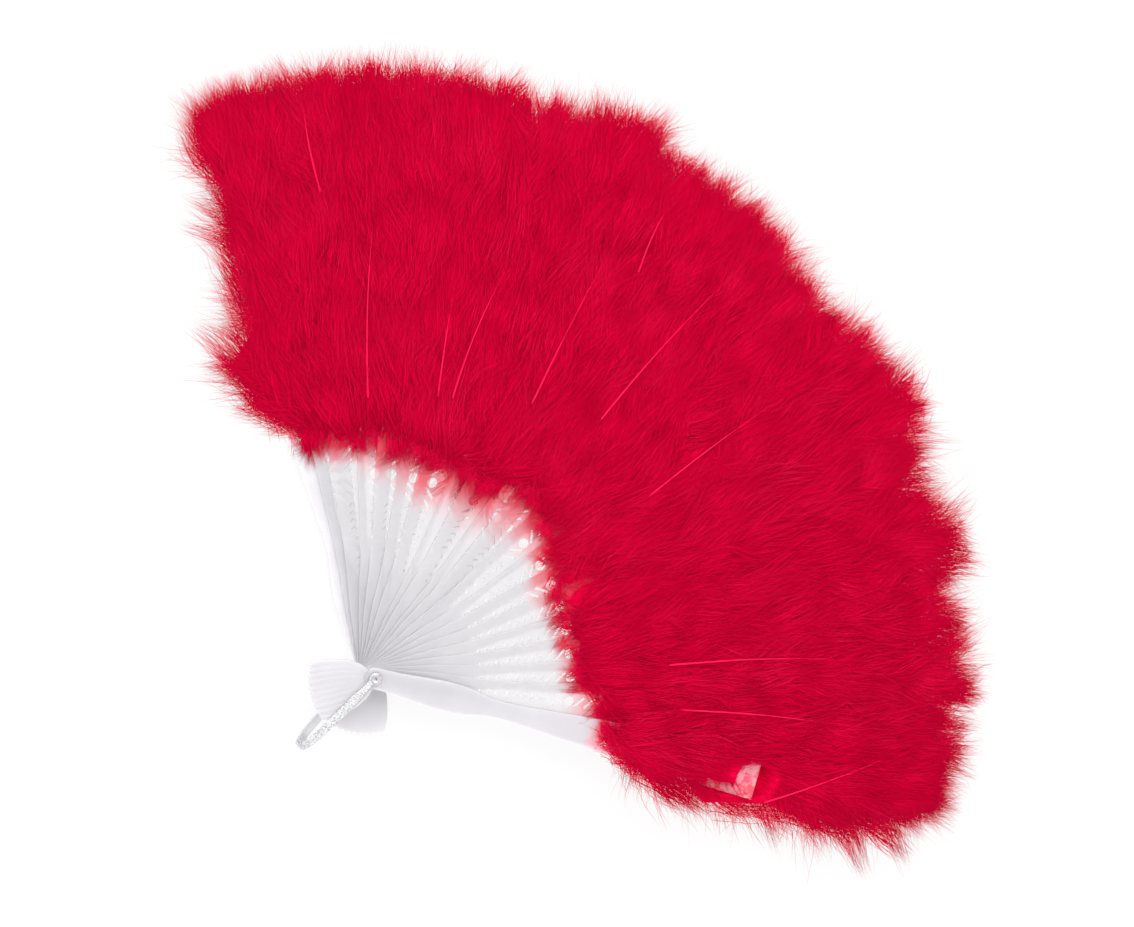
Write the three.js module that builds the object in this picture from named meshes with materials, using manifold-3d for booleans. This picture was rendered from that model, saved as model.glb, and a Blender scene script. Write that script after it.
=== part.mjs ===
// A folding feather fan lying open on its back, in millimetres. The pivot axis is +Z through the
// origin, +Y is the middle of the open fan, and Z = 0 is the surface that the fan lies on.
import * as THREE from "three";
import { mergeVertices } from "three/addons/utils/BufferGeometryUtils.js";
import Module from "manifold-3d";

const wasm = await Module();
wasm.setup();

// The open fan
const openSpread = THREE.MathUtils.degToRad(120.8);
const backGuardAngle = (Math.PI + openSpread) / 2;
const layerGap = 0.3;

// Where each inner stick lies between the back guard, 0, and the front guard, 1
const openShares = [
  0.042, 0.074, 0.135, 0.175, 0.228, 0.273, 0.345, 0.38, 0.448,
  0.482, 0.537, 0.603, 0.657, 0.711, 0.771, 0.828, 0.884, 0.941,
];
const turnedOverSticks = [8, 11, 13, 18];

// Pivot rivet
const rivetRadius = 1.3;
const rivetClearance = 0.3;
const rivetHoleRadius = rivetRadius + rivetClearance;
const backHeadRadius = 3;
const backHeadThickness = 0.8;
const rolledHeadRadius = 2.1;
const rolledHeadThickness = 0.7;
const rivetBoreRadius = 0.8;
const rivetBoreDepth = 2;

// Inner sticks: half widths along the pierced face, then a shoulder and the tongue that holds the plume
const stickThickness = 0.8;
const stickHubRadius = 5;
const stickFaceReach = 119;
const stickFaceHalfWidth = 9.4;
const stickProfileShares = [
  [0.1, 0.57], [0.25, 0.66], [0.4, 0.65], [0.455, 0.64],
  [0.55, 0.67], [0.66, 0.735], [0.84, 0.895], [1, 1],
];
const shoulderLength = 17;
const tongueReach = 200;
const tongueHalfWidth = 2.4;
const tongueTipHalfWidth = 1.6;

// Piercing of an inner stick, outwards from the pivot
const firstDotReach = 54.4;
const firstDotPitch = 3.9;
const firstDotRadius = 0.65;
const dotGrowthShare = 1.2;
const dotCount = 4;
const firstChevronReach = 73.3;
const chevronPitch = 3.95;
const chevronCount = 4;
const chevronHalfWidth = 1.5;
const chevronDepth = 1.5;
const chevronStroke = 0.7;
const eyeReach = 100.8;
const eyeRadius = 2.7;
const slotPitch = 5.3;
const slotLength = 6.8;
const slotWidth = 1.2;
const slotAngle = THREE.MathUtils.degToRad(45);

// Guards: half widths along the blade, and a pair of round holes under the feathers
const guardThickness = 2.2;
const guardHubRadius = 5.4;
const guardReach = 206;
const guardTipHalfWidth = 13;
const guardProfileShares = [
  [0.06, 0.43], [0.165, 0.56], [0.235, 0.53], [0.295, 0.36], [0.37, 0.355],
  [0.49, 0.51], [0.595, 0.62], [0.85, 0.9], [1, 1],
];
const guardHoleReach = 123;
const guardHoleRadius = 2;
const guardHoleSpacing = 8.2;

// Shell lobe of a guard: half its opening angle grows towards the pivot
const lobeReach = 33.5;
const lobeHalfAngle = THREE.MathUtils.degToRad(27);
const lobeRootHalfAngle = THREE.MathUtils.degToRad(66);
const lobeProfileShares = [
  [0.16, 0], [0.33, 0.25], [0.5, 0.49], [0.7, 0.74], [0.87, 0.89], [1, 1],
];
const scallopCount = 10;
const scallopDepth = 0.7;
const fluteDepth = 0.3;

// Carrying ring: a strap from eyelet to eyelet round the lobes
const ringThickness = 1.5;
const ringHalfWidth = 2.15;
const ringNeckHalfWidth = 1.6;
const ringEyeletRadius = 3.1;
const ringNeckReach = 9;
const ringShoulderReach = 13;
const ringStraightReach = 31;
const ringReach = 52;
const ropePitch = 5.9;
const ropeDepth = 0.5;

// Link ribbon
const ribbonThickness = 0.25;
const ribbonReach = 147;
const ribbonWidth = 6;

// Plumes: the bunch of marabou on each stick
const plumeReach = 306;
const plumeReachShares = [
  1.03, 1.04, 1.05, 1.03, 1.01, 1, 0.99, 0.98, 0.98, 0.99,
  0.99, 0.97, 1, 1.01, 1.01, 1, 0.99, 0.99, 1, 0.98,
];
const plumeBaseShares = [0.425, 0.4, 0.365, 0.335, 0.33, 0.385];
const plumeRise = 8;
const plumeEdgeShare = 0.4;
const quillRidge = 0.6;
const plumeGap = 0.6;
const plumeRowShares = [
  [0, 0.35, 0.9], [0.1, 0.75, 1], [0.3, 1, 1], [0.55, 1, 1],
  [0.8, 0.9, 1], [0.92, 0.7, 0.86], [0.98, 0.5, 0.55], [1, 0.35, 0.3],
];
const outerPlumeHalfWidth = 31;
const outerPlumeShares = [0.36, 0.79, 0.95, 0.79, 0.67, 0.57, 0.57, 0.86];

// Heights of the stack, from the rivet's back head up
const backEyeletZ = backHeadThickness + layerGap;
const backGuardZ = backEyeletZ + ringThickness + layerGap;
const firstStickZ = backGuardZ + guardThickness + layerGap;
const stickPitch = stickThickness + layerGap;
const innerStickCount = openShares.length;
const lastStickZ = firstStickZ + (innerStickCount - 1) * stickPitch;
const frontGuardZ = lastStickZ + stickThickness + layerGap + ribbonThickness + layerGap;
const frontEyeletZ = frontGuardZ + guardThickness + layerGap;
const rolledHeadZ = frontEyeletZ + ringThickness + layerGap;

// Every stick from the back guard to the front guard: its angle, the height of its underside and
// its thickness
const sticks = [
  {
    name: "back_guard", plume: "back_guard_plume", angle: backGuardAngle,
    z: backGuardZ, thickness: guardThickness,
  },
  ...openShares.map((share, i) => ({
    name: "stick_" + twoDigits(i + 1), plume: "plume_" + twoDigits(i + 1),
    angle: backGuardAngle - share * openSpread,
    z: firstStickZ + i * stickPitch, thickness: stickThickness,
  })),
  {
    name: "front_guard", plume: "front_guard_plume", angle: backGuardAngle - openSpread,
    z: frontGuardZ, thickness: guardThickness,
  },
];

function twoDigits(number) {
  return String(number).padStart(2, "0");
}

// Straight-line value between the points of a table of [place, value]
function along(table, place) {
  const next = table.findIndex(([x]) => x >= place);
  if (next < 0) return table[table.length - 1][1];
  if (next === 0) return table[0][1];
  const [x0, y0] = table[next - 1];
  const [x1, y1] = table[next];
  return y0 + ((y1 - y0) * (place - x0)) / (x1 - x0);
}

// A closed slab between an upper and a lower surface. place(u, v, side) gives the point at
// u across and v along, with side 1 on the upper surface and 0 on the lower one.
function slab(acrossPlaces, alongPlaces, place) {
  const columns = acrossPlaces.length;
  const rows = alongPlaces.length;
  const points = [];
  for (const side of [0, 1])
    for (const v of alongPlaces)
      for (const u of acrossPlaces) points.push(...place(u, v, side).toArray());
  const at = (i, j, side) => side * rows * columns + j * columns + i;
  const faces = [];
  const quad = (a, b, c, d) => faces.push(a, c, b, a, d, c);
  for (let j = 0; j < rows - 1; j++)
    for (let i = 0; i < columns - 1; i++) {
      quad(at(i, j, 1), at(i + 1, j, 1), at(i + 1, j + 1, 1), at(i, j + 1, 1));
      quad(at(i, j, 0), at(i, j + 1, 0), at(i + 1, j + 1, 0), at(i + 1, j, 0));
    }
  for (let i = 0; i < columns - 1; i++) {
    quad(at(i, 0, 0), at(i + 1, 0, 0), at(i + 1, 0, 1), at(i, 0, 1));
    quad(at(i + 1, rows - 1, 0), at(i, rows - 1, 0), at(i, rows - 1, 1), at(i + 1, rows - 1, 1));
  }
  for (let j = 0; j < rows - 1; j++) {
    quad(at(0, j + 1, 0), at(0, j, 0), at(0, j, 1), at(0, j + 1, 1));
    const last = columns - 1;
    quad(at(last, j, 0), at(last, j + 1, 0), at(last, j + 1, 1), at(last, j, 1));
  }
  const geometry = new THREE.BufferGeometry();
  geometry.setAttribute("position", new THREE.Float32BufferAttribute(points, 3));
  geometry.setIndex(faces);
  return geometry;
}

// Geometry to solid and back, for joins and cuts
function solidOf(geometry) {
  const bare = geometry.clone();
  bare.deleteAttribute("normal");
  bare.deleteAttribute("uv");
  const merged = mergeVertices(bare);
  return new wasm.Manifold(
    new wasm.Mesh({
      numProp: 3,
      vertProperties: merged.attributes.position.array,
      triVerts: new Uint32Array(merged.index.array),
    }),
  );
}

function geometryOf(solid) {
  const made = solid.getMesh();
  const geometry = new THREE.BufferGeometry();
  geometry.setAttribute("position", new THREE.BufferAttribute(made.vertProperties, 3));
  geometry.setIndex(new THREE.BufferAttribute(made.triVerts, 1));
  geometry.computeVertexNormals();
  return geometry;
}

function evenPlaces(count) {
  return Array.from({ length: count + 1 }, (_, i) => i / count);
}

// The outline of a stick along +X: one long edge, the tip, the other edge, and the round hub
function stickShape(edge, hubRadius) {
  const outline = [...edge.map(([x, y]) => [x, -y]), ...edge.toReversed()];
  const shape = new THREE.Shape(outline.map(([x, y]) => new THREE.Vector2(x, y)));
  shape.absarc(0, 0, hubRadius, Math.PI / 2, (3 * Math.PI) / 2, false);
  return shape;
}

function roundHole(x, y, radius) {
  return new THREE.Shape().absarc(x, y, radius, 0, 2 * Math.PI, false);
}

function polygonHole(corners) {
  return new THREE.Shape(corners.map(([x, y]) => new THREE.Vector2(x, y)));
}

// Four dots that grow outwards
function dotHoles() {
  const holes = [];
  let x = firstDotReach;
  for (let i = 0; i < dotCount; i++) {
    const growth = dotGrowthShare ** i;
    holes.push(roundHole(x, 0, firstDotRadius * growth));
    x += firstDotPitch * growth;
  }
  return holes;
}

// Arrowheads that point outwards
function chevronHoles() {
  return Array.from({ length: chevronCount }, (_, i) => {
    const back = firstChevronReach + i * chevronPitch - chevronDepth / 2;
    const tip = back + chevronDepth;
    return polygonHole([
      [back, chevronHalfWidth], [back + chevronStroke, chevronHalfWidth], [tip + chevronStroke, 0],
      [back + chevronStroke, -chevronHalfWidth], [back, -chevronHalfWidth], [tip, 0],
    ]);
  });
}

// Slanted slots, two on each side of the eye
function slotHoles() {
  return [-2, -1, 1, 2].map((step) => {
    const slant = -Math.sign(step) * slotAngle;
    const middle = new THREE.Vector2(eyeReach + step * slotPitch, 0);
    return polygonHole(
      [[-1, 1], [1, 1], [1, -1], [-1, -1]].map(([a, b]) =>
        new THREE.Vector2((a * slotLength) / 2, (b * slotWidth) / 2)
          .rotateAround(new THREE.Vector2(), slant)
          .add(middle)
          .toArray(),
      ),
    );
  });
}

function extruded(shape, thickness, curveSegments) {
  return new THREE.ExtrudeGeometry(shape, { depth: thickness, bevelEnabled: false, curveSegments });
}

// A flat blank less its openings, cut from face to face
function pierced(blank, openings, thickness, curveSegments) {
  const cutter = extruded(openings, thickness + 2 * layerGap, curveSegments).translate(0, 0, -layerGap);
  return geometryOf(solidOf(blank).subtract(solidOf(cutter)));
}

// An inner stick, lying along +X with its underside at Z = 0
function innerStick() {
  const tongueRoot = stickFaceReach + shoulderLength;
  const edge = [
    ...stickProfileShares.map(([r, w]) => [r * stickFaceReach, w * stickFaceHalfWidth]),
    [stickFaceReach + shoulderLength / 3, (stickFaceHalfWidth + tongueHalfWidth) / 2],
    [tongueRoot, tongueHalfWidth],
    [tongueReach - tongueTipHalfWidth, tongueTipHalfWidth],
    [tongueReach, tongueTipHalfWidth / 2],
  ];
  const openings = [
    roundHole(0, 0, rivetHoleRadius), ...dotHoles(), ...chevronHoles(), ...slotHoles(),
    roundHole(eyeReach, 0, eyeRadius),
  ];
  const blank = extruded(stickShape(edge, stickHubRadius), stickThickness, 4);
  return pierced(blank, openings, stickThickness, 4);
}

// The guard's blade with its hub, along +X
function guardBlade() {
  const table = guardProfileShares.map(
    ([r, w]) => new THREE.Vector2(r * guardReach, w * guardTipHalfWidth),
  );
  const curve = new THREE.SplineCurve([new THREE.Vector2(0, guardHubRadius), ...table]);
  const edge = curve.getPoints(2 * table.length).slice(1).map((p) => [p.x, p.y]);
  const openings = [
    roundHole(guardHoleReach, guardHoleSpacing / 2, guardHoleRadius),
    roundHole(guardHoleReach, -guardHoleSpacing / 2, guardHoleRadius),
  ];
  const blank = extruded(stickShape(edge, guardHubRadius), guardThickness, 6);
  return pierced(blank, openings, guardThickness, 6);
}

// The shell lobe, fluted on its outer face, opening away from the blade and turned aside so that
// one corner lies on the blade's own line
function shellLobe() {
  const middle = Math.PI + lobeHalfAngle;
  return slab(evenPlaces(3 * scallopCount), lobeProfileShares, (u, [r, narrowing], side) => {
    const crest = Math.abs(Math.sin(u * scallopCount * Math.PI));
    const valley = (1 - crest) * r;
    const half = lobeRootHalfAngle + (lobeHalfAngle - lobeRootHalfAngle) * narrowing;
    const radius = r * lobeReach - (r === 1 ? valley * scallopDepth : 0);
    const angle = middle + (2 * u - 1) * half;
    const z = side ? guardThickness - valley * fluteDepth : 0;
    return new THREE.Vector3(radius * Math.cos(angle), radius * Math.sin(angle), z);
  });
}

// Blade and lobe in one, drilled for the rivet
function guard() {
  const moulding = solidOf(guardBlade()).add(solidOf(shellLobe()));
  return pierced(geometryOf(moulding), [roundHole(0, 0, rivetHoleRadius)], guardThickness, 6);
}

// The rivet: a flat head at the back, the shank, and a rolled head with an open bore at the front
function pivotRivet() {
  const rolledTop = rolledHeadZ + rolledHeadThickness;
  const roll = rolledHeadThickness / 2;
  const profile = [
    [0, 0], [backHeadRadius, 0], [backHeadRadius, backHeadThickness / 2],
    [backHeadRadius - backHeadThickness / 2, backHeadThickness], [rivetRadius, backHeadThickness],
    [rivetRadius, rolledHeadZ], [rolledHeadRadius, rolledHeadZ], [rolledHeadRadius, rolledTop - roll],
    [rolledHeadRadius - roll, rolledTop], [rivetBoreRadius, rolledTop - roll],
    [rivetBoreRadius, rolledTop - rivetBoreDepth], [0, rolledTop - rivetBoreDepth],
  ];
  const geometry = new THREE.LatheGeometry(profile.map(([r, z]) => new THREE.Vector2(r, z)), 20);
  return geometry.rotateX(Math.PI / 2);
}

// Length, place and direction along the ring's strap: two straight legs joined by half an ellipse
const ringHalfHeight = (frontEyeletZ - backEyeletZ) / 2;
const ringMiddleZ = backEyeletZ + ringThickness / 2 + ringHalfHeight;
const ringBend = ringReach - ringThickness / 2 - ringStraightReach;
function ringPlace(share) {
  const bendLength = (Math.PI * (ringBend + ringHalfHeight)) / 2;
  const length = share * (2 * ringStraightReach + bendLength);
  if (length < ringStraightReach)
    return { length, out: length, z: ringHalfHeight, normal: new THREE.Vector2(0, 1) };
  if (length > ringStraightReach + bendLength)
    return {
      length, out: 2 * ringStraightReach + bendLength - length, z: -ringHalfHeight,
      normal: new THREE.Vector2(0, -1),
    };
  const turn = (Math.PI * (length - ringStraightReach)) / bendLength;
  return {
    length,
    out: ringStraightReach + ringBend * Math.sin(turn),
    z: ringHalfHeight * Math.cos(turn),
    normal: new THREE.Vector2(ringHalfHeight * Math.sin(turn), ringBend * Math.cos(turn)).normalize(),
  };
}

// The strap of the ring, in the plane of the loop along +X, with the rope's ridges on its outer face
function ringStrap() {
  const steps = Math.round((3 * (2 * ringStraightReach + Math.PI * ringBend)) / ropePitch);
  return slab([-1, -1 / 3, 1 / 3, 1], evenPlaces(steps), (u, v, side) => {
    const { length, out, z, normal } = ringPlace(v);
    const neck = THREE.MathUtils.smoothstep(out, ringNeckReach, ringShoulderReach);
    const half = THREE.MathUtils.lerp(ringNeckHalfWidth, ringHalfWidth, neck);
    const ridge = Math.abs(Math.sin(Math.PI * (length / ropePitch + u / 2)));
    const height = side ? ringThickness / 2 - neck * ropeDepth * (1 - ridge) : -ringThickness / 2;
    return new THREE.Vector3(out + normal.x * height, u * half, ringMiddleZ + z + normal.y * height);
  });
}

function ringEyelet(z) {
  const shape = new THREE.Shape().absarc(0, 0, ringEyeletRadius, 0, 2 * Math.PI, false);
  return extruded(shape, ringThickness, 12).translate(0, 0, z);
}

function eyeletHole() {
  const height = frontEyeletZ + ringThickness + 2 * layerGap;
  return new THREE.CylinderGeometry(rivetHoleRadius, rivetHoleRadius, height, 16)
    .rotateX(Math.PI / 2)
    .translate(0, 0, height / 2);
}

function carryingRing() {
  const ring = solidOf(ringStrap())
    .add(solidOf(ringEyelet(frontEyeletZ)))
    .add(solidOf(ringEyelet(backEyeletZ)))
    .subtract(solidOf(eyeletHole()));
  return geometryOf(ring);
}

// The line halfway between a stick and the next one towards the front guard
function boundaryAfter(i) {
  return (sticks[i].angle + sticks[i + 1].angle) / 2;
}

// Where the ribbon runs, with room for itself at its two ends: level over each stick as far as
// the boundary, then up beside the next tongue
function ribbonStations(room) {
  const rise = (tongueHalfWidth + 2 * layerGap) / ribbonReach;
  const stations = [];
  const endTurn = room / ribbonReach;
  for (let i = 0; i < sticks.length - 1; i++) {
    const z = sticks[i].z + sticks[i].thickness + layerGap;
    stations.push({ angle: sticks[i].angle + (i ? rise : endTurn), z });
    stations.push({ angle: boundaryAfter(i), z });
  }
  const last = sticks.at(-1);
  stations.push({ angle: last.angle - endTurn, z: last.z - layerGap - ribbonThickness });
  return stations;
}

function ribbon(room) {
  return slab([0, 1], ribbonStations(room), (u, { angle, z }, side) => {
    const radius = u ? ribbonReach + ribbonWidth + room : ribbonReach - room;
    const height = side ? z + ribbonThickness + room : z - room;
    return new THREE.Vector3(radius * Math.cos(angle), radius * Math.sin(angle), height);
  });
}

// The room that a stick takes in the plumes: its outline, wider and thicker by the gap all round
function stickRoom(stick, isGuard) {
  const tongueRoot = stickFaceReach + shoulderLength;
  const edge = isGuard
    ? guardProfileShares.map(([r, w]) => [r * guardReach, w * guardTipHalfWidth])
    : [
        ...stickProfileShares.map(([r, w]) => [r * stickFaceReach, w * stickFaceHalfWidth]),
        [tongueRoot, tongueHalfWidth], [tongueReach, tongueHalfWidth],
      ];
  const grown = edge.map(([x, y]) => [x, y + plumeGap]);
  grown.push([edge.at(-1)[0] + plumeGap, edge.at(-1)[1]]);
  return solidOf(
    extruded(stickShape(grown, stickHubRadius), stick.thickness + 2 * layerGap, 2)
      .translate(0, 0, stick.z - layerGap)
      .rotateZ(stick.angle),
  );
}

// The bunch of marabou on stick i: flat underneath, crowned on top, with a rounded tip
function plumeBody(i) {
  const stick = sticks[i];
  const reach = plumeReach * plumeReachShares[i];
  const place = (i / (sticks.length - 1)) * (plumeBaseShares.length - 1);
  const base = plumeReach * along(plumeBaseShares.map((share, n) => [n, share]), place);
  const top = stick.z + stick.thickness + layerGap;
  const outerPlumeTable = outerPlumeShares.map((share, n) => [plumeRowShares[n][0], share]);
  return slab([0, 0.25, 0.5, 0.75, 1], plumeRowShares, (u, [v, rise, width], side) => {
    const radius = base + (reach - base) * v;
    const outer = (outerPlumeHalfWidth * along(outerPlumeTable, v)) / radius;
    const right = i < sticks.length - 1 ? boundaryAfter(i) + plumeGap / 2 / radius : stick.angle - outer;
    const left = i > 0 ? boundaryAfter(i - 1) - plumeGap / 2 / radius : stick.angle + outer;
    const middle = (left + right) / 2;
    const angle = middle + (u - 0.5) * (left - right) * width;
    const crown = plumeEdgeShare + (1 - plumeEdgeShare) * (1 - (2 * u - 1) ** 2);
    const quill = u === 0.5 ? quillRidge : 0;
    const z = side ? top + rise * (plumeRise * crown + quill) : 0;
    return new THREE.Vector3(radius * Math.cos(angle), radius * Math.sin(angle), z);
  });
}

// The plume less the room of the sticks that reach into it and of the ribbon
function plume(i) {
  let body = solidOf(plumeBody(i));
  for (const n of [i - 1, i, i + 1]) if (stickRooms[n]) body = body.subtract(stickRooms[n]);
  return geometryOf(body.subtract(ribbonRoom));
}

const stickRooms = sticks.map((stick, i) => stickRoom(stick, i === 0 || i === sticks.length - 1));
const ribbonRoom = solidOf(ribbon(layerGap));

// Materials
const guardPlastic = new THREE.MeshStandardMaterial({ color: 0xebeaed, roughness: 0.42, metalness: 0 });
const stickPlastic = new THREE.MeshStandardMaterial({ color: 0xe8e7eb, roughness: 0.4, metalness: 0 });
const silverPlastic = new THREE.MeshStandardMaterial({ color: 0xd9d9df, roughness: 0.3, metalness: 0.75 });
const rivetMetal = new THREE.MeshStandardMaterial({ color: 0xc9cace, roughness: 0.35, metalness: 1 });
const marabou = new THREE.MeshStandardMaterial({ color: 0xdf0034, roughness: 0.95, metalness: 0 });
const satinRibbon = new THREE.MeshStandardMaterial({ color: 0xc9002e, roughness: 0.6, metalness: 0 });

const fan = new THREE.Group();

function add(name, geometry, material, parent = fan) {
  const mesh = new THREE.Mesh(geometry, material);
  mesh.name = name;
  parent.add(mesh);
  return mesh;
}

// A stick stands in a group at its own height and angle; turned over, it shows its other face
function addStick(stick, geometry, material, turnedOver) {
  const group = new THREE.Group();
  group.position.z = stick.z;
  group.rotation.z = stick.angle;
  fan.add(group);
  const mesh = add(stick.name, geometry, material, group);
  if (turnedOver) {
    mesh.rotation.x = Math.PI;
    mesh.position.z = stick.thickness;
  }
}

const guardGeometry = guard();
const innerGeometry = innerStick();
sticks.forEach((stick, i) => {
  const isBack = i === 0;
  const isGuard = isBack || i === sticks.length - 1;
  if (isGuard) addStick(stick, guardGeometry, guardPlastic, isBack);
  else addStick(stick, innerGeometry, stickPlastic, turnedOverSticks.includes(i));
  add(stick.plume, plume(i), marabou);
});
add("link_ribbon", ribbon(0), satinRibbon);
add("pivot_rivet", pivotRivet(), rivetMetal);
add("carrying_ring", carryingRing(), silverPlastic).rotation.z = -Math.PI / 2;

export default fan;
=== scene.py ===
import bpy
import numpy as np
from mathutils import Matrix, Vector


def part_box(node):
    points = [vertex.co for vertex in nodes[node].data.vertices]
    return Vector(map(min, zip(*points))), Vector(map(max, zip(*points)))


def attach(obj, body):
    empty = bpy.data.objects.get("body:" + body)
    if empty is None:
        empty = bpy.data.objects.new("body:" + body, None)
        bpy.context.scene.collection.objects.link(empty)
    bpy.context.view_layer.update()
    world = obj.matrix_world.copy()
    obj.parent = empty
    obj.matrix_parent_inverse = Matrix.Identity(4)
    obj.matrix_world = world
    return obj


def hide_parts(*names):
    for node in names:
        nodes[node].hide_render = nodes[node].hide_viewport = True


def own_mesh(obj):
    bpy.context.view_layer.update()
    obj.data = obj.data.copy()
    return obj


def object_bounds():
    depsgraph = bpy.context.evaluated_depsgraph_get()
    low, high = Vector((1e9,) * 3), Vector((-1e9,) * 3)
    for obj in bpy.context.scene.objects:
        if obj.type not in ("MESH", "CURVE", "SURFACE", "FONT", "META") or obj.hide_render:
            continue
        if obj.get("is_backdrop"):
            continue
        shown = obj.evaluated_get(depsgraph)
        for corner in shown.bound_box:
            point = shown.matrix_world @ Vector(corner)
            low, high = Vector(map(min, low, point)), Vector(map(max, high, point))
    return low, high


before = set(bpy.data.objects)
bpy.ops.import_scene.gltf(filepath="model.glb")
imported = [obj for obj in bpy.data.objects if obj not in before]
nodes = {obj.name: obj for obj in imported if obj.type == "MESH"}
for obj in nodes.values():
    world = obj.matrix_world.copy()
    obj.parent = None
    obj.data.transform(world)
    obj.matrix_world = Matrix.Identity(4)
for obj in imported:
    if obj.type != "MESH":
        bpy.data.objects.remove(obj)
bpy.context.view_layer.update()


# Sticks and guards: thin mouldings of milky polystyrene, satin on the face, which let some light through. They keep
# the shape of their solids and get their plastic here. The plumes later ask them where they stand.
def principled(name, colour, roughness, **more):
    """A material with one Principled shader, its node tree and the shader."""
    material = bpy.data.materials.new(name)
    material.use_nodes = True
    tree = material.node_tree
    shader = tree.nodes["Principled BSDF"]
    shader.inputs["Base Color"].default_value = (*colour, 1)
    shader.inputs["Roughness"].default_value = roughness
    for key, value in more.items():
        shader.inputs[key.replace("_", " ")].default_value = value
    return material, tree, shader


def noise(tree, scale, detail=2.0):
    """Noise that lies still in the object, scale to the metre."""
    place = tree.nodes.new("ShaderNodeTexCoord")
    node = tree.nodes.new("ShaderNodeTexNoise")
    node.inputs["Scale"].default_value = scale
    node.inputs["Detail"].default_value = detail
    tree.links.new(place.outputs["Object"], node.inputs["Vector"])
    return node.outputs["Fac"]


def ramp(tree, factor, stops):
    """A colour ramp fed by factor; stops are (place, colour)."""
    node = tree.nodes.new("ShaderNodeValToRGB")
    while len(node.color_ramp.elements) < len(stops):
        node.color_ramp.elements.new(0.5)
    for element, (place, colour) in zip(node.color_ramp.elements, stops):
        element.position = place
        element.color = (*colour, 1)
    tree.links.new(factor, node.inputs["Fac"])
    return node.outputs["Color"]


def bump(tree, shader, height, strength, distance):
    """A fine relief on the shader."""
    node = tree.nodes.new("ShaderNodeBump")
    node.inputs["Strength"].default_value = strength
    node.inputs["Distance"].default_value = distance
    tree.links.new(height, node.inputs["Height"])
    tree.links.new(node.outputs["Normal"], shader.inputs["Normal"])


def translucent_mix(tree, shader, colour, share):
    """Lets a share of the light through, scattered and in the same colour."""
    glow = tree.nodes.new("ShaderNodeBsdfTranslucent")
    mix = tree.nodes.new("ShaderNodeMixShader")
    mix.inputs["Fac"].default_value = share
    tree.links.new(colour, glow.inputs["Color"])
    tree.links.new(shader.outputs["BSDF"], mix.inputs[1])
    tree.links.new(glow.outputs["BSDF"], mix.inputs[2])
    tree.links.new(mix.outputs["Shader"], tree.nodes["Material Output"].inputs["Surface"])


def paint_light_from_down(tree, milky, start, end, pink):
    """The milky colour, turning pink from start to end metres from the rivet: painted light, the red of the down under
    the plastic showing through it and bouncing onto it.
    """
    place = tree.nodes.new("ShaderNodeTexCoord")
    flat = tree.nodes.new("ShaderNodeVectorMath")
    flat.operation = "MULTIPLY"
    flat.inputs[1].default_value = (1, 1, 0)
    tree.links.new(place.outputs["Object"], flat.inputs[0])
    radius = tree.nodes.new("ShaderNodeVectorMath")
    radius.operation = "LENGTH"
    tree.links.new(flat.outputs["Vector"], radius.inputs[0])
    wander = tree.nodes.new("ShaderNodeMath")
    wander.operation = "MULTIPLY_ADD"
    wander.inputs[1].default_value = 0.01
    tree.links.new(noise(tree, 160, 4), wander.inputs[0])
    tree.links.new(radius.outputs["Value"], wander.inputs[2])
    spread = tree.nodes.new("ShaderNodeMapRange")
    spread.interpolation_type = "SMOOTHSTEP"
    spread.inputs["From Min"].default_value = start + 0.005
    spread.inputs["From Max"].default_value = end + 0.005
    tree.links.new(wander.outputs["Value"], spread.inputs["Value"])
    mix = tree.nodes.new("ShaderNodeMix")
    mix.data_type = "RGBA"
    tree.links.new(pink, mix.inputs[7])
    tree.links.new(spread.outputs["Result"], mix.inputs[0])
    tree.links.new(milky, mix.inputs[6])
    return mix.outputs[2]


def see_through(tree, shader, share):
    """Lets a share of the view and of the light straight through a wall, once: its far face counts for nothing."""
    clear = tree.nodes.new("ShaderNodeBsdfTransparent")
    facing = tree.nodes.new("ShaderNodeNewGeometry")
    factor = tree.nodes.new("ShaderNodeMath")
    factor.operation = "MAXIMUM"
    factor.inputs[1].default_value = share
    tree.links.new(facing.outputs["Backfacing"], factor.inputs[0])
    mix = tree.nodes.new("ShaderNodeMixShader")
    tree.links.new(factor.outputs["Value"], mix.inputs["Fac"])
    tree.links.new(shader.outputs["BSDF"], mix.inputs[1])
    tree.links.new(clear.outputs["BSDF"], mix.inputs[2])
    tree.links.new(mix.outputs["Shader"], tree.nodes["Material Output"].inputs["Surface"])


stick_names = ["back_guard"] + [f"stick_{k:02d}" for k in range(1, 19)] + ["front_guard"]
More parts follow.
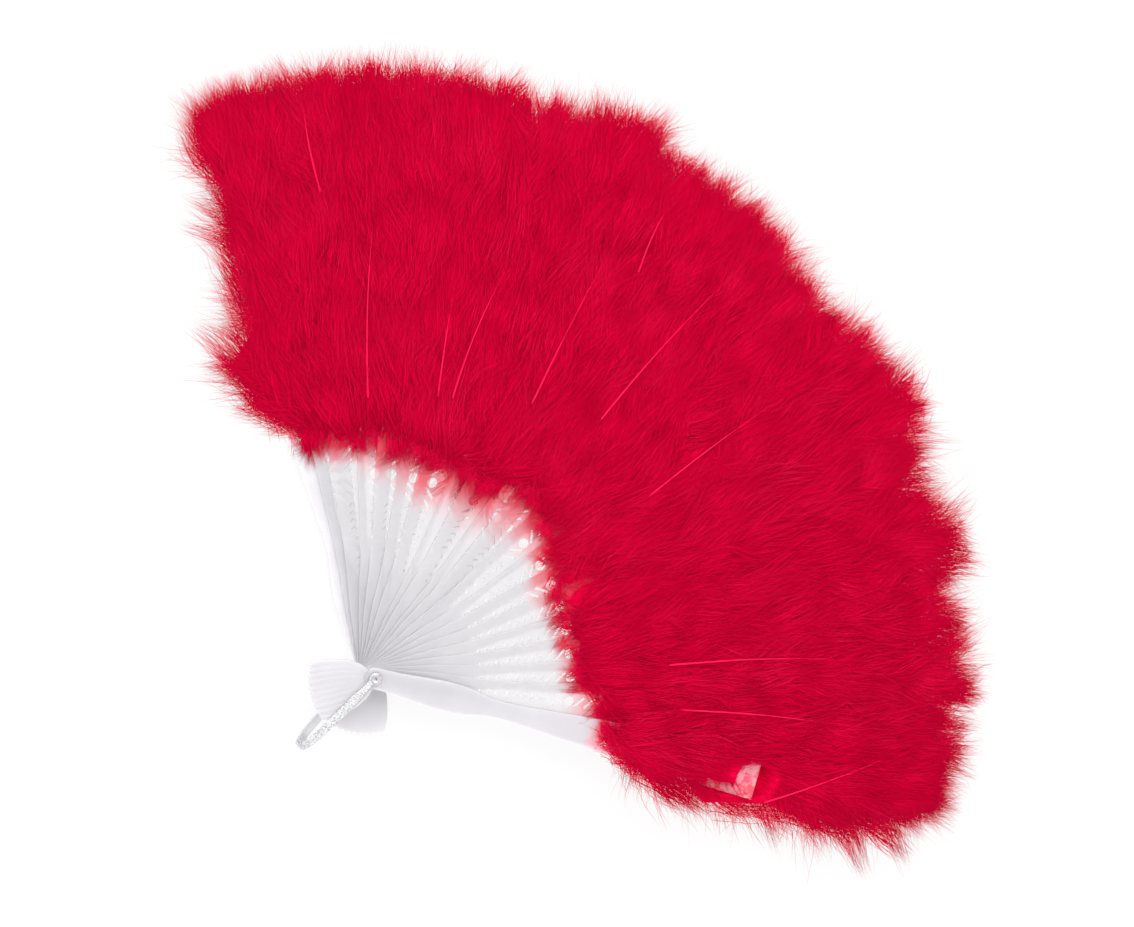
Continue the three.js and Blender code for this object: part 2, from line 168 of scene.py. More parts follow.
# Where the down starts over each stick, and where the painted pink, the down's red light in the plastic, starts and
# ends, in mm from the rivet
inner_edge = np.array([123, 121.5, 115.5, 120, 114, 115.5, 111.5, 111.5, 109, 120,
                       120, 112, 102.5, 100, 99.5, 100.5, 102.5, 102.5, 115, 121]) / 1000
pink_start = np.array([118, 105, 102, 96, 93, 85, 82, 81, 81, 81, 85, 90, 91, 84, 86, 89, 90, 93, 96, 112]) / 1000
pink_end = np.array([124, 122, 117, 119, 112, 114, 103, 109, 109, 111, 115, 111, 106, 101, 103, 102, 103, 102,
                     115, 124]) / 1000
for k, name in enumerate(stick_names):
    guard = name.endswith("guard")
    plastic, tree, shader = principled(f"{name}_plastic", (0.66, 0.645, 0.68), 0.4, Specular_IOR_Level=0.35,
                                       Subsurface_Weight=0.85, Subsurface_Scale=0.006 if guard else 0.003,
                                       Subsurface_Radius=(1, 1, 1))
    # Painted light: the back guard's colour is made lighter to make up for the shade the others cast on it, and the
    # front guard's darker because it lies in full light
    pale = {0: 0.02, 19: -0.08}.get(k, -0.02)
    milky = ramp(tree, noise(tree, 45), [(0.3, (0.63 + pale, 0.614 + pale, 0.644 + pale)),
                                         (0.7, (0.67 + pale, 0.654 + pale, 0.684 + pale))])
    # Painted light: the pink stands for the red light of the down coming through the milky plastic and bouncing onto
    # it, not for a colour of the plastic
    if guard:
        pink = ramp(tree, noise(tree, 300, 4), [(0.42, (0.88, 0.12, 0.18)), (0.52, (0.93, 0.36, 0.44))])
    else:
        pink = ramp(tree, noise(tree, 200), [(0.3, (0.8, 0.04, 0.085)), (0.7, (0.82, 0.06, 0.11))])
    colour = paint_light_from_down(tree, milky, pink_start[k], pink_end[k], pink)
    tree.links.new(colour, shader.inputs["Base Color"])
    bump(tree, shader, noise(tree, 700), 0.1, 0.0002)
    if not guard:
        see_through(tree, shader, 0.3)
    nodes[name].data.materials.clear()
    nodes[name].data.materials.append(plastic)


# Rivet: a nickel-plated tube with a flat head at the back and a rolled, open one at the front. It is small and
# a little dull, with fine turning marks.
steel, tree, shader = principled("nickel plate", (0.6, 0.6, 0.62), 0.5, Metallic=0.8)
tree.links.new(ramp(tree, noise(tree, 900), [(0.3, (0.5, 0.5, 0.52)), (0.7, (0.68, 0.68, 0.7))]),
               shader.inputs["Base Color"])
bump(tree, shader, noise(tree, 2600), 0.25, 0.0001)
nodes["pivot_rivet"].data.materials.clear()
nodes["pivot_rivet"].data.materials.append(steel)


# Carrying ring: a moulded strap with the twist of a rope on its outer face and an eyelet at each end, covered in
# silver glitter. Its back leg is plain and pale, and the glitter begins at the bend.
ring_low, ring_high = (np.array(corner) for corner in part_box("carrying_ring"))
ring_reach = -ring_low[1]
strap_thickness = 0.0015
strap_half_width = 0.00215
neck_half_width = 0.0016
leg_length = 0.031
rope_pitch = 0.0059
rope_depth = 0.0005


def closed_grid(name, points):
    """A mesh from rings of points: points[j, i] is point i of ring j. The rings close round, and each end has a cap."""
    rings, count = points.shape[:2]
    faces = []
    for j in range(rings - 1):
        for i in range(count):
            n = (i + 1) % count
            faces.append((j * count + i, j * count + n, (j + 1) * count + n, (j + 1) * count + i))
    faces.append(tuple(range(count - 1, -1, -1)))
    faces.append(tuple((rings - 1) * count + i for i in range(count)))
    mesh = bpy.data.meshes.new(name)
    mesh.from_pydata(points.reshape(-1, 3).tolist(), [], faces)
    mesh.update()
    mesh.polygons.foreach_set("use_smooth", np.ones(len(mesh.polygons), bool))
    return mesh


def place_piece(name, mesh, material, body):
    """A finished piece at the origin, riding on its body."""
    piece = bpy.data.objects.new(name, mesh)
    bpy.context.scene.collection.objects.link(piece)
    mesh.materials.append(material)
    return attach(piece, body)


def ring_strap():
    """The strap follows two straight legs joined by half an ellipse. Its section is a rounded oblong, pressed in on
    the outer face along slanting lines a rope pitch apart: the rope's depth times
    1 - |sin(pi (length / pitch + across / 2))|."""
    middle_z = (ring_low[2] + ring_high[2]) / 2
    half_height = (ring_high[2] - ring_low[2] - strap_thickness) / 2
    bend = ring_reach - strap_thickness / 2 - leg_length
    turn = np.linspace(0, np.pi, 121)
    leg = np.linspace(0, leg_length, 70, endpoint=False)
    out = np.concatenate([leg, leg_length + bend * np.sin(turn), leg[::-1]])
    z = np.concatenate([half_height + 0 * leg, half_height * np.cos(turn), -half_height + 0 * leg])
    normal_out = np.concatenate([0 * leg, half_height * np.sin(turn), 0 * leg])
    normal_z = np.concatenate([1 + 0 * leg, bend * np.cos(turn), -1 + 0 * leg])
    size = np.hypot(normal_out, normal_z)
    normal_out, normal_z = normal_out / size, normal_z / size
    length = np.concatenate([[0], np.cumsum(np.hypot(np.diff(out), np.diff(z)))])
    neck = np.clip((out - 0.009) / 0.004, 0, 1)
    neck = neck * neck * (3 - 2 * neck)
    half = neck_half_width + (strap_half_width - neck_half_width) * neck
    round_turn = np.linspace(0, 2 * np.pi, 28, endpoint=False)
    across = np.sign(np.cos(round_turn)) * np.abs(np.cos(round_turn)) ** 0.55
    height = np.sign(np.sin(round_turn)) * np.abs(np.sin(round_turn)) ** 0.55
    ridge = np.abs(np.sin(np.pi * (length[:, None] / rope_pitch + across[None] / 2)))
    rise = height[None] * strap_thickness / 2 - rope_depth * neck[:, None] * (1 - ridge) * np.clip(height, 0, 1)[None]
    x = -across[None] * half[:, None]
    y = -(out[:, None] + normal_out[:, None] * rise)
    return closed_grid("ring_strap", np.stack([x, y, middle_z + z[:, None] + normal_z[:, None] * rise], -1))


def eyelet(low, high):
    """A flat washer round the rivet with rounded rims, turned from one closed section: p = (r cos a, r sin a, z)."""
    middle, half = (low + high) / 2, (high - low) / 2
    section = [(0.0016, -half * 0.9), (0.0019, -half), (0.0028, -half), (0.0031, -half * 0.5),
               (0.0031, half * 0.5), (0.0028, half), (0.0019, half), (0.0016, half * 0.9)]
    turn = np.linspace(0, 2 * np.pi, 48, endpoint=False)
    verts = [(r * np.cos(a), r * np.sin(a), middle + z) for a in turn for r, z in section]
    count = len(section)
    faces = []
    for j in range(48):
        for i in range(count):
            m, n = (i + 1) % count, (j + 1) % 48
            faces.append((j * count + i, n * count + i, n * count + m, j * count + m))
    mesh = bpy.data.meshes.new("eyelet")
    mesh.from_pydata(verts, [], faces)
    mesh.update()
    mesh.polygons.foreach_set("use_smooth", np.ones(len(mesh.polygons), bool))
    return mesh


glitter, tree, shader = principled("silver glitter", (0.7, 0.7, 0.72), 0.32, Metallic=0.45)
flakes = tree.nodes.new("ShaderNodeTexVoronoi")
flakes.inputs["Scale"].default_value = 2200
place = tree.nodes.new("ShaderNodeTexCoord")
tree.links.new(place.outputs["Object"], flakes.inputs["Vector"])
# Painted glints: each flake of glitter gets its own brightness, standing in for the light its tilted face catches
painted_glints = ramp(tree, flakes.outputs["Color"],
               [(0.15, (0.36, 0.36, 0.38)), (0.5, (0.68, 0.68, 0.7)), (0.85, (0.9, 0.9, 0.92))])
height = tree.nodes.new("ShaderNodeSeparateXYZ")
tree.links.new(place.outputs["Object"], height.inputs["Vector"])
leg = tree.nodes.new("ShaderNodeMapRange")
leg.inputs["From Min"].default_value = 0.006
leg.inputs["From Max"].default_value = 0.012
tree.links.new(height.outputs["Z"], leg.inputs["Value"])
pale = tree.nodes.new("ShaderNodeMix")
pale.data_type = "RGBA"
pale.inputs[6].default_value = (0.74, 0.74, 0.76, 1)
tree.links.new(leg.outputs["Result"], pale.inputs[0])
tree.links.new(painted_glints, pale.inputs[7])
tree.links.new(pale.outputs[2], shader.inputs["Base Color"])
bump(tree, shader, flakes.outputs["Color"], 0.5, 0.0002)
strap = place_piece("ring_strap", ring_strap(), glitter, "carrying_ring")
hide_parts("carrying_ring")
for label, low in (("front", ring_high[2] - strap_thickness), ("back", ring_low[2])):
    washer = place_piece(f"ring_{label}_eyelet", eyelet(low, low + strap_thickness), glitter, "carrying_ring")


# Link ribbon: a 6 mm satin ribbon glued across the sticks under the down. Each stick carries its own stretch, from
# halfway to one neighbour to halfway to the next.
def stick_angle(name):
    """Direction from the rivet to the outer half of the stick's own points."""
    co = np.empty(len(nodes[name].data.vertices) * 3)
    nodes[name].data.vertices.foreach_get("co", co)
    co = co.reshape(-1, 3)
    far = co[np.hypot(co[:, 0], co[:, 1]) > 0.16]
    return np.arctan2(far[:, 1].mean(), far[:, 0].mean())


def plume_reach(name):
    """Distance from the rivet to the tip of the plume's solid."""
    co = np.empty(len(nodes[name].data.vertices) * 3)
    nodes[name].data.vertices.foreach_get("co", co)
    co = co.reshape(-1, 3)
    return np.hypot(co[:, 0], co[:, 1]).max()


plume_names = ["back_guard_plume"] + [f"plume_{k:02d}" for k in range(1, 19)] + ["front_guard_plume"]
angles = np.array([stick_angle(name) for name in stick_names])
undersides = np.array([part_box(name)[0][2] for name in stick_names])
tops = np.array([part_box(name)[1][2] for name in stick_names])
# The tips stand this many mm out past the plumes' solids, or short of them
past = np.array([-21, -24, -22, -14, -9, -6, -4, 9, 0, -2, -4, -2, -3, 2, -12, 4, 0, 6, 0, 1]) / 1000
reaches = np.array([plume_reach(name) for name in plume_names]) + past
ribbon_inner, ribbon_middle, ribbon_outer = 0.147, 0.15, 0.153
ribbon_thickness = 0.00025
ribbon_gap = 0.0003


def ribbon_stretch(k):
    """A flat band over stick k that dips a little at its two ends, s = -1 and 1: z = top + gap - 0.4 mm s^4."""
    left = (angles[k] + angles[max(k - 1, 0)]) / 2 if k else angles[k]
    right = (angles[k] + angles[min(k + 1, 19)]) / 2 if k < 19 else angles[k]
    s = np.linspace(-1, 1, 13)
    angle = (left + right) / 2 + (right - left) / 2 * s
    level = undersides[19] - ribbon_gap - ribbon_thickness if k == 19 else tops[k] + ribbon_gap
    low = level - 0.0004 * s ** 4 * (k < 19)
    corners = [(ribbon_inner, 0), (ribbon_outer, 0),
               (ribbon_outer, ribbon_thickness), (ribbon_inner, ribbon_thickness)]
    points = np.array([[(r * np.cos(a), r * np.sin(a), z + h) for r, h in corners] for a, z in zip(angle, low)])
    return closed_grid(f"ribbon_{k}", points)


satin, tree, shader = principled("red satin", (0.58, 0.0, 0.027), 0.42, Specular_IOR_Level=0.4, Sheen_Weight=0.3)
weave = tree.nodes.new("ShaderNodeTexWave")
weave.inputs["Scale"].default_value = 1200
place = tree.nodes.new("ShaderNodeTexCoord")
tree.links.new(place.outputs["Object"], weave.inputs["Vector"])
tree.links.new(ramp(tree, weave.outputs["Fac"], [(0.2, (0.5, 0.0, 0.022)), (0.8, (0.64, 0.003, 0.032))]),
               shader.inputs["Base Color"])
bump(tree, shader, weave.outputs["Fac"], 0.3, 0.0001)
for k in range(20):
    stretch = place_piece(f"link_ribbon_{k:02d}", ribbon_stretch(k), satin, stick_names[k])
    if k == 0:
        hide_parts("link_ribbon")
    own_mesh(stretch)


# Plumes: dyed marabou glued to both faces of each stick. Soft barbs lie along the stick in locks that fan out past
# it and cover one another like shingles, and a few bare quills show.
down, tree, shader = principled("dyed marabou", (0.98, 0, 0.07), 0.8, Specular_IOR_Level=0.03,
                                Sheen_Weight=1.0, Sheen_Roughness=0.5, Sheen_Tint=(1, 0, 0.06, 1))
# The shade attribute is each barb's tone: random from lock to lock and barb to barb, with painted light and shade of
# tufts, hollows and the gaps between plumes
shade = tree.nodes.new("ShaderNodeAttribute")
shade.attribute_name = "shade"
down_colour = ramp(tree, shade.outputs["Fac"],
                   [(0.0, (0.84, 0.0, 0.052)), (0.5, (0.98, 0.0, 0.068)), (1.0, (0.995, 0.008, 0.088))])
tree.links.new(down_colour, shader.inputs["Base Color"])
translucent_mix(tree, shader, down_colour, 0.12)

# The matted down inside a plume, seen between the locks: soft streaks along the plume, in its own grain
matted, tree, shader = principled("matted marabou", (0.95, 0, 0.065), 0.85, Specular_IOR_Level=0.02,
                                  Sheen_Weight=0.6, Sheen_Roughness=0.5, Sheen_Tint=(1, 0, 0.06, 1))
grain = tree.nodes.new("ShaderNodeAttribute")
grain.attribute_name = "grain"
streaks = tree.nodes.new("ShaderNodeTexNoise")
streaks.inputs["Scale"].default_value = 1.0
streaks.inputs["Detail"].default_value = 5
streaks.inputs["Distortion"].default_value = 0.6
tree.links.new(grain.outputs["Vector"], streaks.inputs["Vector"])
tree.links.new(ramp(tree, streaks.outputs["Fac"], [(0.3, (0.74, 0.0, 0.045)), (0.5, (0.94, 0.0, 0.062)),
                                                   (0.7, (0.99, 0.004, 0.08))]), shader.inputs["Base Color"])
bump(tree, shader, streaks.outputs["Fac"], 0.9, 0.0012)

quill_material, tree, shader = principled("dyed quill", (0.97, 0.004, 0.08), 0.55, Specular_IOR_Level=0.1)
tree.links.new(ramp(tree, noise(tree, 900), [(0.3, (0.93, 0.001, 0.065)), (0.7, (0.99, 0.008, 0.09))]),
               shader.inputs["Base Color"])

# How far the down stands out beside a guard, at distances from the rivet
outer_r = np.array([118, 128, 140, 155, 170, 185, 200, 215, 230, 245, 260, 275, 290, 306]) / 1000
back_w = np.array([-1, 0, 12, 16, 24, 6, 8, 3, 0, -1, 7.5, 6, -2, -3]) / 1000
front_w = np.array([-1, 1, 7, 15, 8, 18, 13.5, 11, 12.5, 8, 9, -5, -9, -10]) / 1000
# The end of the front guard that the down leaves bare, and a thin tail of it along the lower edge: the middle of
# each outwards from the rivet and across, then half its length and half its width
bare_spots = [(0.2045, -0.0018, 0.010, 0.012), (0.187, -0.009, 0.011, 0.003)]


def strands(name, root, start, finish, length, radius, tone):
    """Thin tapered barbs in one mesh. Barb i leaves root[i] along start[i] and bends steadily until it runs along
    finish[i]: p(t) = root + length (start t + (finish - start) t t / 2). Two rings of three points, then a tip."""
    count = len(root)
    t = np.array([0, 0.5, 1.0])[None, :, None]
    line = root[:, None] + length[:, None, None] * (start[:, None] * t + (finish - start)[:, None] * t * t / 2)
    across = np.cross(start, finish + 1e-4)
    across /= np.linalg.norm(across, axis=1)[:, None] + 1e-12
    other = np.cross(start, across)
    other /= np.linalg.norm(other, axis=1)[:, None] + 1e-12
    turn = np.arange(3) * 2 * np.pi / 3
    ring = across[:, None] * np.cos(turn)[None, :, None] + other[:, None] * np.sin(turn)[None, :, None]
    width = radius[:, None, None, None] * np.array([0.8, 0.9])[None, :, None, None]
    rings = line[:, :2, None] + ring[:, None] * width
    points = np.concatenate([rings.reshape(count, 6, 3), line[:, 2:3]], axis=1)
    face = [[0, 2, 1]] + [[i, (i + 1) % 3, 3 + (i + 1) % 3, 3 + i] for i in range(3)]
    face += [[3 + i, 3 + (i + 1) % 3, 6] for i in range(3)]
    sizes = np.array([len(f) for f in face])
    pattern = np.concatenate(face)
    mesh = bpy.data.meshes.new(name)
    mesh.vertices.add(count * 7)
    mesh.vertices.foreach_set("co", points.ravel())
    mesh.loops.add(count * len(pattern))
    mesh.loops.foreach_set("vertex_index", (np.arange(count)[:, None] * 7 + pattern).ravel().astype(np.int32))
    mesh.polygons.add(count * len(face))
    first = np.concatenate([[0], np.cumsum(np.tile(sizes, count))[:-1]])
    mesh.polygons.foreach_set("loop_start", first.astype(np.int32))
    mesh.update(calc_edges=True)
    mesh.polygons.foreach_set("use_smooth", np.ones(count * len(face), bool))
    mesh.attributes.new("shade", "FLOAT", "POINT").data.foreach_set("value", np.repeat(tone, 7))
    return mesh


def polar(radius, angle, z):
    """Points from radius and angle about the rivet."""
    return np.stack([radius * np.cos(angle), radius * np.sin(angle), z + 0 * radius], axis=-1)


def sides(k, r):
    """Angles of plume k's two edges at radius r: halfway to the neighbours, or the free edge beside a guard."""
    free = np.interp(r, outer_r, back_w if k == 0 else front_w) / r
    left = (angles[k] + angles[k - 1]) / 2 if k > 0 else angles[k] + free
    right = (angles[k] + angles[k + 1]) / 2 if k < 19 else angles[k] - free
    return right + 0 * r, left + 0 * r


def crown(k, u, v, side):
    """Height of plume k's upper surface at side 1 and of its lower one at side 0, at u across and v along.
    Across runs from -1 to 1 and along from 0 to 1. The upper one is the stick's top + 1.2 mm + 6.2 mm times the
    swell, less 35 % of that at the two edges."""
    swell = np.interp(v, [0, 0.1, 0.3, 0.8, 0.92, 1], [0.3, 0.7, 1, 0.9, 0.7, 0.3])
    up = tops[k] + 0.0012 + 0.0062 * swell * (1 - 0.35 * u * u)
    sunk = np.clip(v / 0.15, 0, 1)
    under = sunk * (0.0035 - 0.0015 * swell * (1 - u * u)) + (1 - sunk) * (undersides[k] - 0.003)
    return np.where(side, up, under)


def bareness(points):
    """1 at the middle of each bare spot, falling to 0 at its rim: 1 - (x / a)^2 - (y / b)^2."""
    x = points[..., 0] * np.cos(angles[19]) + points[..., 1] * np.sin(angles[19])
    y = -points[..., 0] * np.sin(angles[19]) + points[..., 1] * np.cos(angles[19])
    far = [((x - out) / long) ** 2 + ((y - across) / wide) ** 2 for out, across, long, wide in bare_spots]
    return np.clip(1 - np.minimum(*far), 0, 1)


def heart(k):
    """The soft inside of plume k: a closed skin whose section is flattened, its top following the crown."""
    v = np.linspace(0, 1, 80)
    turn = np.linspace(0, 2 * np.pi, 32, endpoint=False)
    radius = inner_edge[k] + 0.004 + (reaches[k] - 0.022 - inner_edge[k]) * v
    right, left = sides(k, radius)
    width = np.interp(v, [0, 0.06, 0.9, 0.96, 1], [1.0, 1.12, 1.12, 0.95, 0.6])
    half = (left - right) / 2 * width
    u = np.cos(turn)[None] * np.ones_like(v)[:, None]
    low = crown(k, u, v[:, None], 0) + 0.0012
    high = crown(k, u, v[:, None], 1) - 0.0034
    z = (high + low) / 2 + (high - low) / 2 * np.sign(np.sin(turn)) * np.abs(np.sin(turn)) ** 0.3
    angle = ((left + right) / 2)[:, None] + half[:, None] * u
    points = polar(radius[:, None] + 0 * angle, angle, 0)
    points[..., 2] = z
    if k == 19:
        points[..., 2] = np.where(z > undersides[19], z - 0.012 * np.minimum(3 * bareness(points), 1), z)
    points = points[:, ::-1]
    mesh = closed_grid(f"heart_{k}", points)
    r = np.hypot(points[..., 0], points[..., 1])
    across = (np.arctan2(points[..., 1], points[..., 0]) - angles[k]) * r
    grain = np.stack([across * 700, r * 70, 7.0 * k + 120 * points[..., 2]], -1)
    mesh.attributes.new("grain", "FLOAT_VECTOR", "POINT").data.foreach_set("vector", grain.ravel())
    return mesh


def lock_kinds(k, rng, count):
    """Root and tip of every lock of plume k. Most, kind 0, lie along the plume on its upper or lower face. The others
    are 1: wisps past the tip, 2: wisps that lean inwards over the sticks, 3: locks that reach in under them, and
    4: the fringe at the sides, which is thickest beside a guard."""
    base, reach = inner_edge[k], reaches[k]
    beneath, beside = 0.04 if k < 12 else 0, 0.06 if 0 < k < 19 else 0.24
    kind = rng.choice(5, count, p=[0.87 - beneath - beside, 0.09, 0.04, beneath, beside])
    even = (np.sqrt(base ** 2 + (reach ** 2 - base ** 2) * rng.random(count)) - base) / (reach - base) * 0.98
    v = np.choose(kind, [even, rng.uniform(0.84, 0.96, count), rng.uniform(0, 0.03, count),
                         rng.uniform(0.0, 0.05, count), rng.uniform(0.03, 0.93, count)])
    u = rng.uniform(-1, 1, count)
    front = (rng.random(count) < 0.66) | (kind == 2)
    front &= kind != 3
    radius = base + (reach - base) * v
    right, left = sides(k, radius)
    narrow = np.interp(v, [0, 0.05, 0.85, 1], [0.95, 1, 1, 0.6])
    angle = (right + left) / 2 + (left - right) / 2 * u * narrow
    outward = np.where(k == 0, 1, -1) if k in (0, 19) else np.sign(u)
    if k in (0, 19):
        near_edge = (right + left) / 2 + (left - right) / 2 * outward * rng.uniform(0.5, 0.95, count)
        angle = np.where(kind == 4, near_edge, angle)
    fan = u * rng.uniform(0.1, 0.5, count) + rng.normal(0, 0.27, count)
    fan = np.where(kind == 1, u * 0.4 + rng.normal(0, 0.3, count), fan)
    fan = np.where((kind == 2) | (kind == 3), np.pi + rng.normal(0, 0.7, count), fan)
    sideways = outward * rng.uniform(0.5, 1.35, count) if k in (0, 19) else outward * rng.uniform(0.3, 0.9, count)
    fan = np.where(kind == 4, sideways, fan)
    length = np.choose(kind, [rng.uniform(0.022, 0.042, count) * np.interp(v, [0, 0.9, 1], [0.9, 1, 0.8]),
                              rng.uniform(0.024, 0.036, count), rng.uniform(0.005, 0.012, count),
                              rng.uniform(0.01, 0.024, count), rng.uniform(0.009, 0.019, count)])
    limit = np.maximum(0.01, reach + np.where(kind == 1, rng.uniform(0.003, 0.013, count),
                                              rng.uniform(-0.004, 0.006, count)) - radius)
    length = np.where((kind == 2) | (kind == 3), length, np.minimum(length, limit))
    heading = angle + fan
    out = np.stack([np.cos(heading), np.sin(heading), 0 * heading], -1)
    root = polar(radius, angle, 0)
    root[:, 2] = crown(k, u, np.clip(v, 0, 1), front) + np.where(front, -0.0025, 0.0015)
    tip = root + out * length[:, None]
    tip_v = np.clip((np.hypot(tip[:, 0], tip[:, 1]) - base) / (reach - base), 0, 1)
    lift = np.where(front, rng.uniform(-0.001, 0.0026, count), rng.uniform(-0.0012, 0.001, count))
    tip[:, 2] = crown(k, np.clip(u, -1, 1), tip_v, front) + lift
    tip[:, 2] = np.where(kind == 2, tops[k] + rng.uniform(0.0016, 0.0034, count), tip[:, 2])
    under = undersides[k] - rng.uniform(0.0001, 0.0002, count)
    root[:, 2] = np.where(kind == 3, under, root[:, 2])
    tip[:, 2] = np.where(kind == 3, under, tip[:, 2])
    return root, tip, out, front, kind


locks_per_plume, quick_locks_per_plume = 190, 24
barbs_per_lock = 44


def locks(k, seed):
    """Barbs of plume k, gathered in locks: each barb starts near its lock's root and ends near the lock's tip."""
    rng = np.random.default_rng(seed)
    area = 1.0 if 0 < k < 19 else 1.6
    count = int(locks_per_plume * area)
    root, tip, out, front, kind = lock_kinds(k, rng, count)
    of = np.repeat(np.arange(count), barbs_per_lock)
    n = len(of)
    side = np.stack([-out[:, 1], out[:, 0], 0 * out[:, 0]], -1)
    wide = np.where((kind == 2) | (kind == 3), 0.5, 1)[of]
    spread = rng.normal(0, 0.0036, n) * wide
    start_at = root[of] + side[of] * spread[:, None] + out[of] * (rng.uniform(-0.014, 0.010, n) * wide)[:, None]
    start_at[:, 2] += rng.normal(0, 0.0006, n) * (kind[of] != 3)
    r = np.hypot(start_at[:, 0], start_at[:, 1])
    edge = np.interp(-np.arctan2(start_at[:, 1], start_at[:, 0]), -angles, inner_edge)
    edge = edge + rng.normal(0, 0.0016, count)[of] + np.abs(rng.normal(0, 0.0022, n))
    start_at[:, :2] *= np.where(kind[of] == 3, 1, np.maximum(edge / r, 1))[:, None]
    loose = np.where((kind == 1) | (kind == 4), 1.9, 1)[of]
    end_at = tip[of] + side[of] * (spread * 0.5 + rng.normal(0, 0.0018, n) * loose)[:, None]
    end_at += out[of] * (rng.normal(0, 0.0035, n) * wide * loose)[:, None]
    end_at[:, 2] += rng.normal(0, 0.0007, n) * (kind[of] != 3)
    end_at[:, :2] *= np.minimum((reaches[k] + 0.016) / np.hypot(end_at[:, 0], end_at[:, 1]), 1)[:, None]
    reach_vec = end_at - start_at
    span = np.linalg.norm(reach_vec, axis=1)
    bow = side[of] * (rng.normal(0, 0.2, count)[of] + rng.normal(0, 0.16, n) + np.sign(spread) * 0.1)[:, None]
    bow[:, 2] += np.where(front[of], 1, -1) * rng.uniform(0.0, 0.16, n) * (kind[of] != 3)
    start = reach_vec / span[:, None] + bow
    finish = reach_vec / span[:, None] - bow
    thick = rng.uniform(0.0001, 0.00019, n) * np.where(kind[of] == 3, 0.5, 1) / loose ** 0.5
    r, a = np.hypot(root[:, 0], root[:, 1]), np.arctan2(root[:, 1], root[:, 0])
    # Painted light and shade: cloudy lighter and darker patches for lit tufts and shaded hollows, and darker barbs
    # towards the plume's two sides, where shade falls between plumes. The rest of the tone differs at random from lock
    # to lock and barb to barb.
    painted_tuft_shade = 0.2 * np.sin(a * 38 + 3 * np.sin(r * 60)) * np.cos(r * 75 + k)
    painted_tuft_shade -= 0.2 * np.clip(np.abs(a - angles[k]) / 0.06, 0, 1) ** 3
    tone = np.clip(0.6 + (painted_tuft_shade + rng.normal(0, 0.1, count))[of] + rng.normal(0, 0.13, n), 0, 1)
    start_at[:, 2] = np.maximum(start_at[:, 2], 0.0006)
    keep = (end_at[:, 2] > 0.0005) & ((kind[of] != 2) | (rng.random(n) < 0.45))
    if k >= 18:
        patience = rng.uniform(0, 0.15, n)
        for t in (0, 0.35, 0.7, 1):
            keep &= ~((bareness(start_at + (end_at - start_at) * t) > patience) & front[of])
    return [part[keep] for part in (start_at, start, finish, span, thick, tone)]


def quill(k, r0, a0, r1, a1):
    """A bare quill on top of the down: a tapered tube, straight but for a bow of 1.5 mm sideways. It sinks by
    2.2 mm t^3 towards its tip, at t = 1."""
    t = np.linspace(0, 1, 24)
    r = (r0 + (r1 - r0) * t) / 1000
    a = np.radians(a0 + (a1 - a0) * t) + 0.0015 * np.sin(np.pi * t) / r
    v = np.clip((r - inner_edge[k]) / (reaches[k] - inner_edge[k]), 0, 1)
    line = polar(r, a, 0)
    line[:, 2] = crown(k, 0 * r, v, True) + 0.0012 - 0.0022 * t ** 3
    ahead = np.gradient(line, axis=0)
    ahead /= np.linalg.norm(ahead, axis=1)[:, None]
    aside = np.cross(ahead, (0, 0, 1.0))
    above = np.cross(aside, ahead)
    turn = np.linspace(0, 2 * np.pi, 8, endpoint=False)
    radius = 0.0005 - 0.00036 * t
    ring = aside[:, None] * np.cos(turn)[None, :, None] - above[:, None] * np.sin(turn)[None, :, None]
    return closed_grid("quill", line[:, None] + ring * radius[:, None, None])


for k in range(20):
    name, body = plume_names[k], stick_names[k]
    skin = place_piece(f"{name}_down", heart(k), matted, body)
    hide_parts(name)
    barbs = place_piece(f"{name}_barbs", strands(f"barbs_{k}", *locks(k, 100 + k)), down, body)
    for piece in (skin, barbs):
        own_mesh(piece)

# Quills that lie bare: distance from the rivet in mm and direction in degrees at the root, then the same at the tip
bare_quills = [(244, 141.6, 290, 142.3), (140, 136.3, 227, 135.4), (144, 122.3, 213, 123.6),
               (145, 119.5, 213, 117.4), (158, 105.2, 253, 106.2), (242, 102.0, 279, 103.1),
               (172, 93.7, 265, 93.3), (166, 78.1, 248, 79.0), (150, 46.7, 237, 46.3),
               (157, 38.2, 242, 38.2), (211, 26.5, 266, 34.8)]
for number, (r0, a0, r1, a1) in enumerate(bare_quills):
    k = int(np.abs(angles - np.radians((a0 + a1) / 2)).argmin())
    piece = place_piece(f"quill_{number + 1:02d}", quill(k, r0, a0, r1, a1), quill_material, stick_names[k])
    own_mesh(piece)


# Studio: white paper that keeps a faint shadow, one large soft light from behind on the left and an even white
# room. The camera looks down from 2 m, tilted a little from the rivet's line.
bpy.ops.mesh.primitive_plane_add(size=12, location=(0, 0, -0.0002))
floor = bpy.context.object
floor.name = "floor"
paper, tree, shader = principled("white paper", (0.93, 0.93, 0.93), 0.9, Specular_IOR_Level=0.0)
seen = tree.nodes.new("ShaderNodeLightPath")
direct = tree.nodes.new("ShaderNodeMath")
direct.operation = "MAXIMUM"
tree.links.new(seen.outputs["Is Camera Ray"], direct.inputs[0])
through = tree.nodes.new("ShaderNodeMath")
through.operation = "MAXIMUM"
tree.links.new(seen.outputs["Is Glossy Ray"], through.inputs[0])
tree.links.new(seen.outputs["Is Transmission Ray"], through.inputs[1])
tree.links.new(through.outputs["Value"], direct.inputs[1])
share = tree.nodes.new("ShaderNodeMath")
share.operation = "MULTIPLY"
share.inputs[1].default_value = 0.88
tree.links.new(direct.outputs["Value"], share.inputs[0])
white = tree.nodes.new("ShaderNodeEmission")
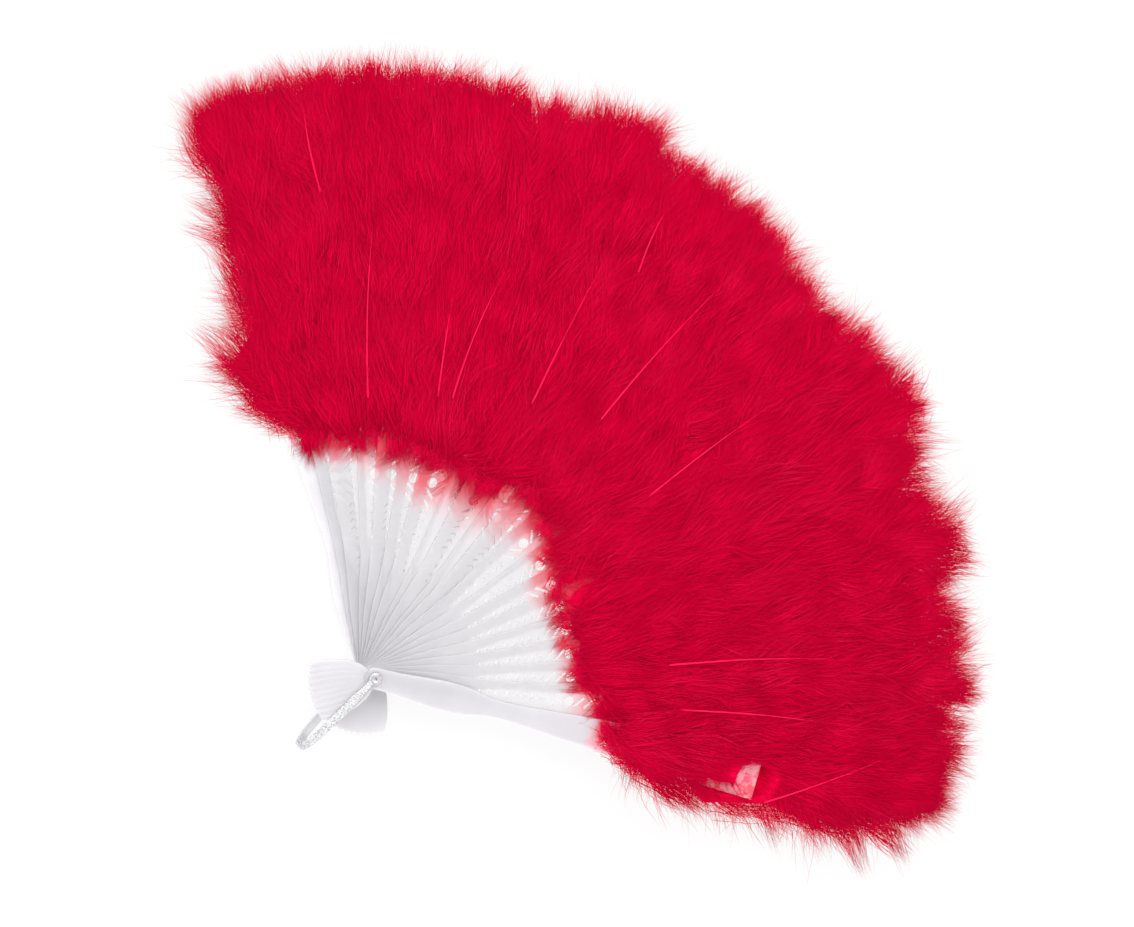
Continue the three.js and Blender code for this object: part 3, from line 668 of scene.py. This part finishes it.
mix = tree.nodes.new("ShaderNodeMixShader")
tree.links.new(share.outputs["Value"], mix.inputs["Fac"])
tree.links.new(shader.outputs["BSDF"], mix.inputs[1])
tree.links.new(white.outputs["Emission"], mix.inputs[2])
tree.links.new(mix.outputs["Shader"], tree.nodes["Material Output"].inputs["Surface"])
floor.data.materials.append(paper)
floor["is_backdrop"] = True

lamp_data = bpy.data.lights.new("softbox", "AREA")
lamp_data.size = 1.6
lamp_data.energy = 31
lamp = bpy.data.objects.new("softbox", lamp_data)
lamp.location = (-0.9, 1.2, 2.0)
lamp.rotation_mode = "QUATERNION"
lamp.rotation_quaternion = (Vector((0, 0.15, 0)) - lamp.location).to_track_quat("-Z", "Y")
bpy.context.scene.collection.objects.link(lamp)
world = bpy.data.worlds.new("room")
bpy.context.scene.world = world
world.use_nodes = True
world.node_tree.nodes["Background"].inputs["Color"].default_value = (1, 1, 1, 1)
world.node_tree.nodes["Background"].inputs["Strength"].default_value = 1.08

lean = np.radians(14)
toward = np.radians(9.225)
level = np.array([np.cos(toward), np.sin(toward), 0])
side_on = np.array([-np.sin(toward), np.cos(toward), 0])
up_z = np.array([0, 0, 1.0])
back = np.cos(lean) * up_z - np.sin(lean) * level
along = np.cos(lean) * level + np.sin(lean) * up_z
turn = np.radians(36)
right = np.cos(turn) * along + np.sin(turn) * side_on
up = -np.sin(turn) * along + np.cos(turn) * side_on
middle = np.array([0, 0, tops[19]]) + 0.096 * right + 0.1075 * up
camera_distance, view_width = 2.0, 0.567
camera_data = bpy.data.cameras.new("camera")
camera_data.sensor_width = 36
camera_data.lens = 36 * camera_distance / view_width
camera = bpy.data.objects.new("camera", camera_data)
stand = middle + camera_distance * back
camera.matrix_world = Matrix([[*map(float, row), float(p)] for row, p in
                              zip(np.stack([right, up, back], 1), stand)] + [[0, 0, 0, 1]])
bpy.context.scene.collection.objects.link(camera)
bpy.context.scene.camera = camera
bpy.context.scene.view_settings.view_transform = "Standard"

low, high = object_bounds()
